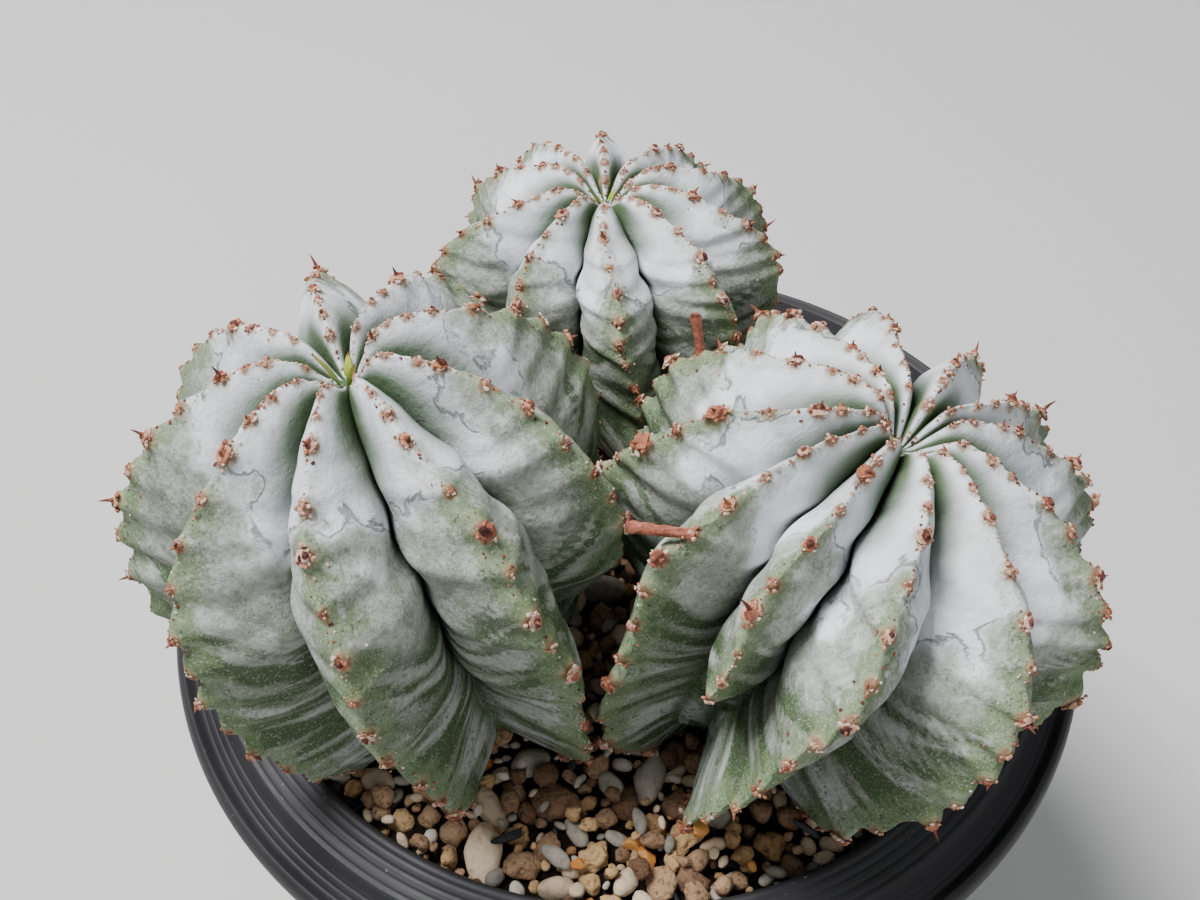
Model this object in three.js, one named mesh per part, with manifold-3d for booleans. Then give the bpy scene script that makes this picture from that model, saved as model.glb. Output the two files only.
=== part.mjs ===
// Potted African milk barrel: three ribbed succulent heads in a round pot of gravel.
// Millimetres, +Z up. The origin is the middle of the pot's flat underside; the front is -Y.
import * as THREE from 'three';
import { mergeVertices } from 'three/addons/utils/BufferGeometryUtils.js';
import Module from 'manifold-3d';

const wasm = await Module();
wasm.setup();

// Pot
const POT_HEIGHT = 110;
const LIP_RADIUS = 67.5;
const LIP_Z = POT_HEIGHT - 7.2;
const MOUTH_RADIUS = 56.4;
const BASE_RADIUS = 46;
const WALL = 1.6;
const FLOOR = 2.5;
const POT_SIDES = 40;
const DRAIN_HOLES = 6;
const DRAIN_RADIUS = 4;
const DRAIN_RING_RADIUS = 28;

// Soil and the gravel on it
const GAP = 0.3;
const SOIL_TOP = 104.6;
const STONE_PITCH = 7.6;
const STONE_RADIUS = 3.8;
const STONE_CLEARANCE = 0.5;
const STONE_SEED = 11;

// What the heads share
const GROUND = 106;
const STEM_DEPTH = 14;
const STEM_RADIUS = 9.5;
const TUBERCLES = 16;
const RINGS = 2 * TUBERCLES;
const BUMP = 0.55;
const SWAY = 0.7;
const SWAY_WAVES = 7;
const BEND_HEIGHT = 20;
const DIP_RADIUS = 5.5;
const CROWN_JOIN = 0.1;
const FURROW_SHARE = 0.46;
const FOOT_FILL = 0.26;
const CROWN_OPEN = 0.25;
const LOW_OPEN = 1.7;
const SHOULDER_OPEN = 0.5;
const SHOULDER_SHUT = 0.9;
const TURN_FROM = 1.3;
const TURN_SPAN = 1.5;
const FADE_FROM = 1.65;
const FADE_SPAN = 0.7;
const FLANK_SLOPE = 0.62;
const SLIT_POWER = 12;
const SPINE_LENGTH = 4.2;
const SPINE_RADIUS = 0.8;
const SPINE_SUNK = 1.4;
const SPINE_EVERY = 3;

// Dry flower stalks on the right head: rib, place on it, direction and length
const STALK_RADIUS = 0.65;
const STALKS = [
  { rib: 7, u: 1.12, direction: [-1, 0.12, 0.1], length: 9.5 },
  { rib: 5, u: 1.05, direction: [-0.15, 0.3, 1], length: 6.5 },
];

// Young leaf in a crown: its turn about the crown, outward lean, length and half width
const LEAF_SUNK = 0.8;
const LEAF_FLATNESS = 0.45;
const LEAVES = {
  head_left: { turn: 200, lean: 0.3, length: 5, halfWidth: 0.8 },
  head_back: { turn: 215, lean: 0.55, length: 4, halfWidth: 0.7 },
};

// The heads: foot is where the head meets the ground, lean and toward tilt it, girth is the
// widest crest radius at the belly's height, dip sinks the crown and the foot's radius ends
// the crests. A rib is its direction, its reach as a share of the girth, and the degrees that
// it turns on the way down; a short rib fades out below the belly.
const HEADS = {
  head_left: {
    foot: [-24.8, -17.5], lean: 10, toward: 155,
    girth: 34, belly: 34, tall: 61, dip: 6, footRadius: 15, tuck: 0.88,
    ribs: [
      { at: 34, reach: 0.9, turn: 2 },
      { at: 70, reach: 0.925, turn: -2 },
      { at: 105, reach: 1.05, turn: -6 },
      { at: 147, reach: 1.04, turn: 2 },
      { at: 188, reach: 1.0, turn: 8 },
      { at: 228, reach: 0.98, turn: 6 },
      { at: 269, reach: 1.0, turn: 10 },
      { at: 308, reach: 1.01, turn: 7 },
      { at: 345, reach: 0.88, turn: 0, short: 0.5 },
    ],
  },
  head_right: {
    foot: [17.6, -20.4], lean: 20, toward: 18,
    girth: 37, belly: 32, tall: 52.5, dip: 6.5, footRadius: 14.5, tuck: 1.1,
    ribs: [
      { at: 12, reach: 0.97, turn: 0 },
      { at: 33, reach: 1.0, turn: 0 },
      { at: 54, reach: 1.04, turn: -8 },
      { at: 83, reach: 1.04, turn: -7 },
      { at: 112, reach: 0.91, turn: -12 },
      { at: 145, reach: 0.85, turn: -8 },
      { at: 181, reach: 0.88, turn: -12, short: 0.4 },
      { at: 213, reach: 0.95, turn: 4 },
      { at: 234, reach: 0.93, turn: 2, short: 0.45 },
      { at: 256, reach: 1.04, turn: -12 },
      { at: 291, reach: 1.0, turn: -9 },
      { at: 331, reach: 0.93, turn: -4 },
    ],
  },
  head_back: {
    foot: [-2.6, 30.8], lean: 7, toward: 91,
    girth: 26.3, belly: 30, tall: 45, dip: 4.5, footRadius: 13, tuck: 1,
    ribs: [
      { at: 24, reach: 1.0, turn: 2 },
      { at: 54, reach: 0.98, turn: -2 },
      { at: 91, reach: 1.03, turn: 0 },
      { at: 119, reach: 1.02, turn: -4 },
      { at: 147, reach: 0.94, turn: -6 },
      { at: 194, reach: 1.01, turn: -6 },
      { at: 234, reach: 0.9, turn: 4 },
      { at: 275, reach: 1.0, turn: 10 },
      { at: 314, reach: 0.97, turn: 2 },
      { at: 350, reach: 0.99, turn: 3 },
    ],
  },
};

// A small repeatable random number maker
function randomFrom(seed) {
  let state = seed;
  return () => {
    state = (state * 16807) % 2147483647;
    return state / 2147483647;
  };
}

function smoothStep(x) {
  const t = Math.min(Math.max(x, 0), 1);
  return t * t * (3 - 2 * t);
}

// Closed mesh geometry to solid, and back
function toSolid(geometry) {
  const bare = geometry.clone();
  bare.deleteAttribute('normal');
  bare.deleteAttribute('uv');
  const merged = mergeVertices(bare, 1e-4);
  const vertProperties = new Float32Array(merged.attributes.position.array);
  const triVerts = new Uint32Array(merged.index.array);
  return new wasm.Manifold(new wasm.Mesh({ numProp: 3, vertProperties, triVerts }));
}

function toGeometry(solid) {
  const mesh = solid.getMesh();
  const geometry = new THREE.BufferGeometry();
  geometry.setAttribute('position', new THREE.BufferAttribute(mesh.vertProperties, 3));
  geometry.setIndex(new THREE.BufferAttribute(mesh.triVerts, 1));
  return geometry;
}

// A round solid about Z from a profile of [radius, height] points, turned to stand on +Z
function turned(profile, sides) {
  const points = profile.map(([radius, height]) => new THREE.Vector2(radius, height));
  const geometry = new THREE.LatheGeometry(points, sides);
  geometry.rotateX(Math.PI / 2);
  return geometry;
}

function upright(radius, low, high, sides) {
  const geometry = new THREE.CylinderGeometry(radius, radius, high - low, sides);
  geometry.rotateX(Math.PI / 2);
  geometry.translate(0, 0, (low + high) / 2);
  return geometry;
}

// The pot's inner wall, from the floor's edge up to the mouth
function innerWall(gap) {
  return [
    [BASE_RADIUS - WALL - gap, FLOOR],
    [LIP_RADIUS - 3.6 - gap, LIP_Z - 5],
    [LIP_RADIUS - 4.4 - gap, LIP_Z - 1.5],
    [MOUTH_RADIUS - WALL / 2 - gap, POT_HEIGHT - 4],
  ];
}

// Tapered pot whose collar steps outward and down from the mouth to a raised lip
function makePot() {
  const profile = [
    [0, 0],
    [BASE_RADIUS - 1, 0],
    [BASE_RADIUS, 1],
    [LIP_RADIUS - 2, LIP_Z - 4.5],
    [LIP_RADIUS - 0.5, LIP_Z - 2.2],
    [LIP_RADIUS, LIP_Z],
    [LIP_RADIUS - 0.6, LIP_Z + 1.9],
    [LIP_RADIUS - 1.5, LIP_Z + 2.3],
    [LIP_RADIUS - 2.4, LIP_Z + 1.6],
    [LIP_RADIUS - 5.1, LIP_Z + 3.5],
    [LIP_RADIUS - 6, LIP_Z + 5.4],
    [LIP_RADIUS - 8.4, LIP_Z + 6.1],
    [MOUTH_RADIUS + 0.6, POT_HEIGHT],
    [MOUTH_RADIUS - WALL / 2, POT_HEIGHT],
    ...innerWall(0).reverse(),
    [0, FLOOR],
  ];
  let pot = toSolid(turned(profile, POT_SIDES));
  for (let i = 0; i < DRAIN_HOLES; i += 1) {
    const angle = (i * 2 * Math.PI) / DRAIN_HOLES;
    const hole = upright(DRAIN_RADIUS, -1, FLOOR + 1, 10);
    hole.translate(DRAIN_RING_RADIUS * Math.cos(angle), DRAIN_RING_RADIUS * Math.sin(angle), 0);
    pot = pot.subtract(toSolid(hole));
  }
  return toGeometry(pot);
}

// Crest line of a head as radius and height, for u from 0 at the crown to PI at the foot
function crestPoint(head, u) {
  const side = Math.sin(u);
  const rise = Math.abs(Math.cos(u));
  const above = u < Math.PI / 2;
  const radius = above
    ? head.girth * side
    : head.footRadius + (head.girth - head.footRadius) * side ** head.tuck;
  const height = above ? head.belly + (head.tall - head.belly) * rise : head.belly * (1 - rise);
  return [radius, height - head.dip * Math.exp(-((radius / DIP_RADIUS) ** 2))];
}

// How near the furrow's bottom is to the crest: touching at the crown, deep at the belly
function furrowShare(u) {
  const crown = (1 - FURROW_SHARE) * Math.exp(-((u / CROWN_JOIN) ** 2));
  return FURROW_SHARE + crown + FOOT_FILL * smoothStep(u - 1.6);
}

// How far the furrow is pressed shut: open at the crown, shut at the belly, open lower down
function tightness(u) {
  return smoothStep((u - CROWN_OPEN) / 0.5) * (1 - smoothStep((u - LOW_OPEN) / 0.7));
}

// Height of a rib's side between furrow and crest: a slit beside full flanks, or a plain valley
function section(away, u) {
  const closed = 1 - FLANK_SLOPE * away - (1 - FLANK_SLOPE) * away ** SLIT_POWER;
  const spread = (1 - away) ** (1 + 0.5 * smoothStep(u - 1));
  return spread + tightness(u) * (closed - spread);
}

function ribDirection(rib, u) {
  return ((rib.at + (rib.turn * (u - TURN_FROM)) / TURN_SPAN) * Math.PI) / 180;
}

function ribReach(rib, u) {
  const faded = rib.short ? rib.short * smoothStep((u - FADE_FROM) / FADE_SPAN) : 0;
  return rib.reach * (1 - faded);
}

// Turns a point of the straight head about the foot, so that the head leans above its foot
function bend(head, point) {
  const toward = (head.toward * Math.PI) / 180;
  const axis = new THREE.Vector3(-Math.sin(toward), Math.cos(toward), 0);
  const share = smoothStep(point.z / BEND_HEIGHT);
  return point.applyAxisAngle(axis, ((head.lean * Math.PI) / 180) * share);
}

// Point on a rib: step is 0 on the crest and 1 or -1 in the furrow beside it
function ribPoint(head, index, step, u) {
  const ribs = head.ribs;
  const rib = ribs[index];
  const side = Math.sign(step);
  const beside = ribs[(index + side + ribs.length) % ribs.length];
  const direction = ribDirection(rib, u);
  let half = (ribDirection(beside, u) - direction) / 2;
  if (side > 0 && half < 0) half += Math.PI;
  if (side < 0 && half > 0) half -= Math.PI;
  const [crestRadius, crestHeight] = crestPoint(head, u);
  const bump = BUMP * Math.cos(2 * TUBERCLES * u + Math.PI * index) * Math.min(1, 1.5 * u);
  const reach = ribReach(rib, u);
  const top = crestRadius * reach + bump * Math.sin(u);
  const share = furrowShare(u);
  const low = crestRadius * share;
  const lowHeight = head.belly + (crestHeight - head.belly) * (0.5 + 0.5 * share);
  const away = Math.abs(step);
  const full = section(away, u);
  const radius = low + (top - low) * full;
  const height = lowHeight + (crestHeight - lowHeight) * full;
  const sway = (SWAY * Math.sin(SWAY_WAVES * u + 2 * index) * Math.sin(u) * (1 - away)) / (radius + 1);
  const angle = direction + half * away + sway;
  const point = new THREE.Vector3(radius * Math.cos(angle), radius * Math.sin(angle), height);
  return bend(head, point);
}

// Steps across one rib: the crest between its shoulders, then the furrow. The shoulders stand
// nearer to the furrow where that is pressed shut.
function ribSteps(u) {
  const shoulder = SHOULDER_OPEN + (SHOULDER_SHUT - SHOULDER_OPEN) * tightness(u);
  return [-shoulder, 0, shoulder, 1];
}

// Skin of a head: crown point, ribbed rings, a round stem below the ground and its end
function headSkin(head) {
  const around = head.ribs.length * ribSteps(0).length;
  const points = [ribPoint(head, 0, 0, 0)];
  for (let ring = 1; ring <= RINGS; ring += 1) {
    const u = (Math.PI * ring) / RINGS;
    head.ribs.forEach((rib, index) => {
      ribSteps(u).forEach((step) => points.push(ribPoint(head, index, step, u)));
    });
  }
  const lastRing = points.slice(-around);
  for (const [radius, height] of [[STEM_RADIUS, 0], [STEM_RADIUS - 1, -STEM_DEPTH]]) {
    for (const point of lastRing) {
      const angle = Math.atan2(point.y, point.x);
      points.push(new THREE.Vector3(radius * Math.cos(angle), radius * Math.sin(angle), height));
    }
  }
  points.push(new THREE.Vector3(0, 0, -STEM_DEPTH));
  const faces = [];
  for (let i = 0; i < around; i += 1) {
    const next = (i + 1) % around;
    faces.push(0, 1 + i, 1 + next);
    for (let ring = 0; ring < RINGS + 1; ring += 1) {
      const here = 1 + ring * around;
      const below = here + around;
      faces.push(here + i, below + i, below + next);
      faces.push(here + i, below + next, here + next);
    }
    const last = 1 + (RINGS + 1) * around;
    faces.push(last + i, points.length - 1, last + next);
  }
  const geometry = new THREE.BufferGeometry();
  geometry.setFromPoints(points);
  geometry.setIndex(faces);
  return geometry;
}

// A pointed thorn or stub from a root point along a direction, its root sunk in
function thorn(root, direction, length, radius, tipRadius, sides) {
  const geometry = new THREE.CylinderGeometry(tipRadius, radius, length + SPINE_SUNK, sides);
  geometry.translate(0, (length - SPINE_SUNK) / 2, 0);
  const turn = new THREE.Quaternion();
  turn.setFromUnitVectors(new THREE.Vector3(0, 1, 0), direction);
  geometry.applyQuaternion(turn);
  geometry.translate(root.x, root.y, root.z);
  return geometry;
}

// Outward direction of a crest at u
function crestNormal(head, index, u) {
  const before = ribPoint(head, index, 0, u - 0.12);
  const after = ribPoint(head, index, 0, u + 0.12);
  const along = after.sub(before).normalize();
  const out = ribPoint(head, index, 0, u).sub(new THREE.Vector3(0, 0, head.belly));
  return out.addScaledVector(along, -out.dot(along)).normalize();
}

function makeStalk(head, stalk) {
  const root = ribPoint(head, stalk.rib, 0, stalk.u);
  const direction = new THREE.Vector3(...stalk.direction).normalize();
  return thorn(root, direction, stalk.length, STALK_RADIUS, 0.8 * STALK_RADIUS, 6);
}

// A young leaf: a flat pointed blade that stands in the crown
function makeLeaf(head, leaf) {
  const geometry = new THREE.CylinderGeometry(0.1, leaf.halfWidth, leaf.length, 4);
  geometry.scale(1, 1, LEAF_FLATNESS);
  geometry.rotateX(Math.PI / 2);
  geometry.translate(0, 0, leaf.length / 2 - LEAF_SUNK);
  geometry.rotateY(leaf.lean);
  geometry.rotateZ((leaf.turn * Math.PI) / 180);
  const crown = ribPoint(head, 0, 0, 0);
  geometry.translate(crown.x, crown.y, crown.z);
  return geometry;
}

function makeHead(name, head) {
  const parts = [toSolid(headSkin(head))];
  if (name === 'head_right') STALKS.forEach((stalk) => parts.push(toSolid(makeStalk(head, stalk))));
  if (LEAVES[name]) parts.push(toSolid(makeLeaf(head, LEAVES[name])));
  head.ribs.forEach((rib, index) => {
    for (let k = 2; k < TUBERCLES - 2; k += SPINE_EVERY) {
      const u = (Math.PI * (2 * k + (index % 2))) / RINGS;
      const root = ribPoint(head, index, 0, u);
      const direction = crestNormal(head, index, u);
      parts.push(toSolid(thorn(root, direction, SPINE_LENGTH - SPINE_SUNK, SPINE_RADIUS, 0, 3)));
    }
  });
  return toGeometry(wasm.Manifold.union(parts));
}

// A rough stone: an icosahedron with its corners moved and its height pressed
function stone(random, radius) {
  const geometry = mergeVertices(new THREE.IcosahedronGeometry(radius, 0).deleteAttribute('normal')
    .deleteAttribute('uv'), 1e-3);
  const position = geometry.attributes.position;
  for (let i = 0; i < position.count; i += 1) {
    const share = 0.85 + 0.3 * random();
    position.setXYZ(i, position.getX(i) * share, position.getY(i) * share * 0.85,
      position.getZ(i) * share * 0.75);
  }
  geometry.rotateX(0.5 * (random() - 0.5));
  geometry.rotateZ(2 * Math.PI * random());
  return geometry;
}

// True where a ball is clear of every head, tested on the heads' corners
function clearOfHeads(x, y, z, radius, corners) {
  return corners.every(([cx, cy, cz]) => Math.hypot(cx - x, cy - y, cz - z) > radius);
}

// Soil that fills the pot, with plain holes for the stems and its gravel fused on
function makeSoil(corners) {
  const wall = innerWall(GAP);
  const profile = [[0, FLOOR], ...wall.slice(0, 3), [MOUTH_RADIUS - 3, SOIL_TOP], [0, SOIL_TOP]];
  let soil = toSolid(turned(profile, POT_SIDES));
  const random = randomFrom(STONE_SEED);
  const stones = [soil];
  const rows = Math.ceil(MOUTH_RADIUS / STONE_PITCH) + 1;
  for (let row = -rows; row <= rows; row += 1) {
    for (let column = -rows; column <= rows; column += 1) {
      const x = STONE_PITCH * (column + (row % 2 ? 0.5 : 0) + 0.3 * (random() - 0.5));
      const y = STONE_PITCH * 0.87 * (row + 0.3 * (random() - 0.5));
      const radius = STONE_RADIUS * (0.85 + 0.3 * random());
      const z = SOIL_TOP + 0.5 * random();
      const shape = stone(random, radius);
      const inside = Math.hypot(x, y) < MOUTH_RADIUS - 1.2 - radius;
      if (inside && clearOfHeads(x, y, z, radius + STONE_CLEARANCE, corners)) {
        shape.translate(x, y, z);
        stones.push(toSolid(shape));
      }
    }
  }
  soil = wasm.Manifold.union(stones);
  for (const head of Object.values(HEADS)) {
    const hole = upright(STEM_RADIUS + GAP, GROUND - STEM_DEPTH - GAP, POT_HEIGHT, 24);
    hole.translate(head.foot[0], head.foot[1], 0);
    soil = soil.subtract(toSolid(hole));
  }
  return toGeometry(soil);
}

function finish(color, roughness) {
  return new THREE.MeshStandardMaterial({ color, roughness, metalness: 0 });
}

const plant = new THREE.Group();

function add(name, geometry, material) {
  const mesh = new THREE.Mesh(geometry, material);
  mesh.name = name;
  plant.add(mesh);
  return mesh;
}

const corners = [];
for (const [name, head] of Object.entries(HEADS)) {
  const geometry = makeHead(name, head);
  const mesh = add(name, geometry, finish(0xb4beb8, 0.75));
  mesh.position.set(head.foot[0], head.foot[1], GROUND);
  const position = geometry.attributes.position;
  for (let i = 0; i < position.count; i += 1) {
    corners.push([position.getX(i) + head.foot[0], position.getY(i) + head.foot[1],
      position.getZ(i) + GROUND]);
  }
}
add('soil', makeSoil(corners), finish(0x8a6a4c, 0.95));
add('pot', makePot(), finish(0x1f1e20, 0.6));

export default plant;
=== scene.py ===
import math
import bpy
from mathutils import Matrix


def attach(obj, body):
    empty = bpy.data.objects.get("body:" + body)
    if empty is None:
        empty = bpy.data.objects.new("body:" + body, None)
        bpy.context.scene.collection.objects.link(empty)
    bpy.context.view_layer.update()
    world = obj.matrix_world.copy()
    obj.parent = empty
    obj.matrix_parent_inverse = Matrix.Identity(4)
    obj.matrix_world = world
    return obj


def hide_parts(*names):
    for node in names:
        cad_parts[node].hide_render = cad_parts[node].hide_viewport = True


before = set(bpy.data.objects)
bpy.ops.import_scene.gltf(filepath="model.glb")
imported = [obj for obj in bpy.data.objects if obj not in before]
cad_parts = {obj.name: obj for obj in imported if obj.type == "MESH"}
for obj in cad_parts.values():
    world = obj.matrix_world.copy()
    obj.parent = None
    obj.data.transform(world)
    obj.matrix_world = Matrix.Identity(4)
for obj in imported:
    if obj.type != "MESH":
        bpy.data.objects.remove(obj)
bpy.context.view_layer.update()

from types import SimpleNamespace

import bmesh
import bpy
import numpy as np
from mathutils import Matrix, Vector, noise
from mathutils.bvhtree import BVHTree

MM = 0.001

# The photograph's view: image size, focal length in pixels, and where the camera stands
IMAGE_WIDTH_PX = 1200
FOCAL_PX = 1500
SENSOR_MM = 36
CAMERA_DOWN = math.radians(48.98)
CAMERA_ROLL = math.radians(-0.64)
CAMERA_DISTANCE_MM = 245.5
CAMERA_TARGET_MM = (-3.85, 25.7, 102.8)

# Lights: name, place and width in metres, and power; then the sky and the floor
LIGHTS = [("key", (-0.35, 0.1, 0.95), 0.4, 18), ("fill", (0.35, -0.75, 0.65), 0.8, 2.2)]
LIGHT_AIM = (0, 0, 0.12)
SKY_COLOR = (0.94, 0.97, 1, 1)
SKY_STRENGTH = 0.3
FLOOR_COLOR = (0.62, 0.62, 0.61)
FLOOR_REACH = 3000

# Pot and soil, with the solids' sizes, mm
POT_HEIGHT = 110
LIP_RADIUS = 67.5
LIP_Z = POT_HEIGHT - 7.2
MOUTH_RADIUS = 56.4
BASE_RADIUS = 46
WALL = 1.6
FLOOR = 2.5
DRAIN_HOLES = 6
DRAIN_RADIUS = 4
DRAIN_RING_RADIUS = 28
DRAIN_SIDES = 32
POT_SIDES = 192
GROOVE_DEPTH = 0.1
SOIL_GAP = 0.3
SOIL_TOP = 104.6
SOIL_RINGS = 60
SOIL_SIDES = 150
SOIL_LUMPS = 0.8
MOUND_HEIGHT = 1.5
MOUND_RADIUS = 15

# The heads' shape, as in the solids, mm. A place on the way down a rib is given as u, an angle
# that goes from 0 at the crown through pi / 2 at the belly to pi at the foot
GROUND = 106
STEM_DEPTH = 14
STEM_RADIUS = 9.5
TUBERCLES = 16
SWAY = 0.7
SWAY_WAVES = 7
BEND_HEIGHT = 20
CROWN_JOIN = 0.1
CROWN_OPEN = 0.25
CROWN_OPEN_SPAN = 0.5
LOW_OPEN = 1.7
LOW_OPEN_SPAN = 0.7
FURROW_SHARE = 0.46
FOOT_FILL = 0.26
FOOT_FILL_FROM = 1.6
FLANK_SLOPE = 0.62
SLIT_POWER = 12
TURN_FROM = 1.3
TURN_SPAN = 1.5
FADE_FROM = 1.65
FADE_SPAN = 0.7

# What is finer here than in the solids: lower and less even bumps of the crest, a narrower dip,
# fuller ribs at the crown, rounded crests with full flanks, and furrows that sway, each wave
# with its width in mm, its number of waves and its shift from rib to rib
BUMP = 0.45
BUMP_UNEVEN = 0.7
DIP_RADIUS = 4.2
CROWN_ROUND = 0.42
CREST_BLUNT = 0.05
PILLOW = 0.012
PILLOW_DIP = 0.12
FURROW_WAVES = [(0.45, TUBERCLES, 2.1), (0.5, 9, 1.3)]
USUAL_GIRTH = 35


def rib_at(at, reach, turn, short=0.0):
    """A rib: its direction, reach and turn, and by how much it fades out low down"""
    return dict(at=at, reach=reach, turn=turn, short=short)


# The heads: foot is where the head meets the ground, lean and toward tilt it, girth is the
# widest crest radius at the belly's height, dip sinks the crown, the crests end at the foot's
# radius, and wear says how early the wax wears off
HEADS = {
    "head_left": dict(
        foot=(-24.8, -17.5), lean=10, toward=155,
        girth=34, belly=34, tall=61, dip=6, foot_radius=15, tuck=0.88, wear=0.15,
        ribs=[
            rib_at(34, 0.9, 2), rib_at(70, 0.925, -2), rib_at(105, 1.05, -6), rib_at(147, 1.04, 2),
            rib_at(188, 1.0, 8), rib_at(228, 0.98, 6), rib_at(269, 1.0, 10), rib_at(308, 1.01, 7),
            rib_at(345, 0.88, 0, 0.5),
        ],
    ),
    "head_right": dict(
        foot=(17.6, -20.4), lean=20, toward=18,
        girth=37, belly=32, tall=52.5, dip=6.5, foot_radius=14.5, tuck=1.1, wear=0.10,
        ribs=[
            rib_at(12, 0.97, 0), rib_at(33, 1.0, 0), rib_at(54, 1.04, -8), rib_at(83, 1.04, -7),
            rib_at(112, 0.91, -12), rib_at(145, 0.85, -8), rib_at(181, 0.88, -12, 0.4),
            rib_at(213, 0.95, 4), rib_at(234, 0.93, 2, 0.45), rib_at(256, 1.04, -12),
            rib_at(291, 1.0, -9), rib_at(331, 0.93, -4),
        ],
    ),
    "head_back": dict(
        foot=(-2.6, 30.8), lean=7, toward=91,
        girth=26.3, belly=30, tall=45, dip=4.5, foot_radius=13, tuck=1, wear=0.08,
        ribs=[
            rib_at(24, 1.0, 2), rib_at(54, 0.98, -2), rib_at(91, 1.03, 0), rib_at(119, 1.02, -4),
            rib_at(147, 0.94, -6), rib_at(194, 1.01, -6), rib_at(234, 0.9, 4), rib_at(275, 1.0, 10),
            rib_at(314, 0.97, 2), rib_at(350, 0.99, 3),
        ],
    ),
}

# Dry flower stalks on the right head: the rib and place they stand on, direction and length
STALKS = [
    dict(rib=7, u=1.12, direction=(-1, 0.12, 0.1), length=7.5),
    dict(rib=5, u=1.05, direction=(-0.15, 0.3, 1), length=6.5),
]
STALK_RADIUS = 0.65

# Young leaves in each crown: turn about the crown, outward lean, length, width
LEAVES = {
    "head_left": [(200, 0.3, 6.8, 1.7), (320, 0.45, 5.4, 1.5), (80, 0.6, 3.4, 1.2)],
    "head_right": [(150, 0.5, 2.6, 1.2), (290, 0.7, 2.2, 1.0)],
    "head_back": [(215, 0.55, 4.0, 1.3), (40, 0.5, 2.6, 1.0)],
}

LEAF_ROWS = 9
# Points round a leaf's cupped section: across, how deep in the cup, and above or below the middle
LEAF_SECTION = [
    (-1, 0, 0), (-0.5, 0.6, 1), (0, 1, 1), (0.5, 0.6, 1),
    (1, 0, 0), (0.5, 0.6, -1), (0, 1, -1), (-0.5, 0.6, -1),
]

# Fineness and relief of the visual heads
HEAD_SEED = 5
HEAD_RINGS = {"head_left": 228, "head_right": 222, "head_back": 178}
COLUMNS_PER_RIB = {"head_left": 36, "head_right": 30, "head_back": 28}
FIRST_RING = 0.012
SLIT_CROWDING = 0.65
ROUGH_RELIEF = 0.3
BAND_RELIEF = 0.14
STREAK_RELIEF = 0.25
BANDS = 12
LINE_DIP = 0.45
KNOB_HEIGHT = 0.7
KNOB_SPREAD = 1.8
KNOB_RINGS = 16
CREST_GRIT = 0.22

# Areoles: their steps down a rib, where the last one sits, those between the main ones, and their thorns
AREOLE_STEPS = [0.55, 1, 1.5, *range(2, TUBERCLES)]
AREOLE_SHIFT = 0.22
AREOLE_SIZES = (0.6, 1.35)
LAST_ON_RIB = 3.02
LAST_ON_SHORT_RIB = 1.95
SECOND_SIZE = 0.72
BESIDE_CREST = (-5, -4, 4, 5)
YOUNG_HEART = (0.05, 0.55)
OLD_HEART = (0.4, 0.75)
OLD_FROM = 1.6
MAIN_FLAKES = 10
SECOND_FLAKES = 4
YOUNG_GRIT = 10
OLD_GRIT = 6
LESS_GRIT_FROM = 1.4
MAIN_THORN_SHARE = 0.65
SECOND_THORN_SHARE = 0.2
THORN_CLEARANCE = 1.0

# Gravel: number, smallest and largest radius in mm, placed from the largest down
GRAVEL_SEED = 21
STONE_SIZES = [(34, 2.5, 3.3), (170, 1.8, 2.5), (420, 1.2, 1.8), (1100, 0.55, 1.2)]
UPPER_STONES = [(34, 2.0, 2.7), (130, 1.3, 2.0), (260, 0.6, 1.3)]
STONE_SPACING = 0.87
STONE_TRIES = 25
STONE_WALL_GAP = 1.4
STONE_TILT = 0.35
HEAD_CLEARANCE = 0.95
FINEST_STONE_FROM = 2.3
FINE_STONE_FROM = 1.15
STONE_LEVEL = 105.4
UPPER_LEVEL = 107.2
STONE_KINDS = [
    ("gravel_brown", 0.38), ("gravel_tan", 0.22), ("gravel_cream", 0.17),
    ("gravel_grey", 0.14), ("gravel_orange", 0.02), ("gravel_black", 0.07),
]


def link(name, mesh):
    piece = bpy.data.objects.new(name, mesh)
    bpy.context.scene.collection.objects.link(piece)
    return piece


def mesh_object(name, vertices, faces, smooth=True, sharp_degrees=None):
    """A mesh piece from points in millimetres"""
    mesh = bpy.data.meshes.new(name)
    mesh.from_pydata([tuple(v) for v in np.asarray(vertices) * MM], [], faces)
    mesh.update()
    mesh.validate()
    if smooth:
        mesh.polygons.foreach_set("use_smooth", [True] * len(mesh.polygons))
    if sharp_degrees is not None:
        mesh.set_sharp_from_angle(angle=math.radians(sharp_degrees))
    return link(name, mesh)


def point_values(piece, name, values):
    """A named number for each point of a piece, which materials read"""
    attribute = piece.data.attributes.new(name, "FLOAT", "POINT")
    attribute.data.foreach_set("value", np.asarray(values, np.float32).ravel())


def point_vectors(piece, name, values):
    """A named vector for each point of a piece, which materials read"""
    attribute = piece.data.attributes.new(name, "FLOAT_VECTOR", "POINT")
    attribute.data.foreach_set("vector", np.asarray(values, np.float32).ravel())


def place_piece(piece, material, replaced=None):
    piece.data.materials.append(material)
    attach(piece, "root")
    if replaced:
        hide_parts(replaced)
    return piece


def smooth_step(x):
    t = np.clip(x, 0, 1)
    return t * t * (3 - 2 * t)


def unit(v):
    return v / (np.linalg.norm(v, axis=-1, keepdims=True) + 1e-12)


def noise_at(points, octaves=3):
    """Smooth noise about -1 to 1 at each point"""
    flat = np.asarray(points, float).reshape(-1, 3)
    values = np.array([noise.fractal(Vector(q), 1.0, 2.0, octaves) for q in flat])
    return values.reshape(np.shape(points)[:-1])


# Materials

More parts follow.
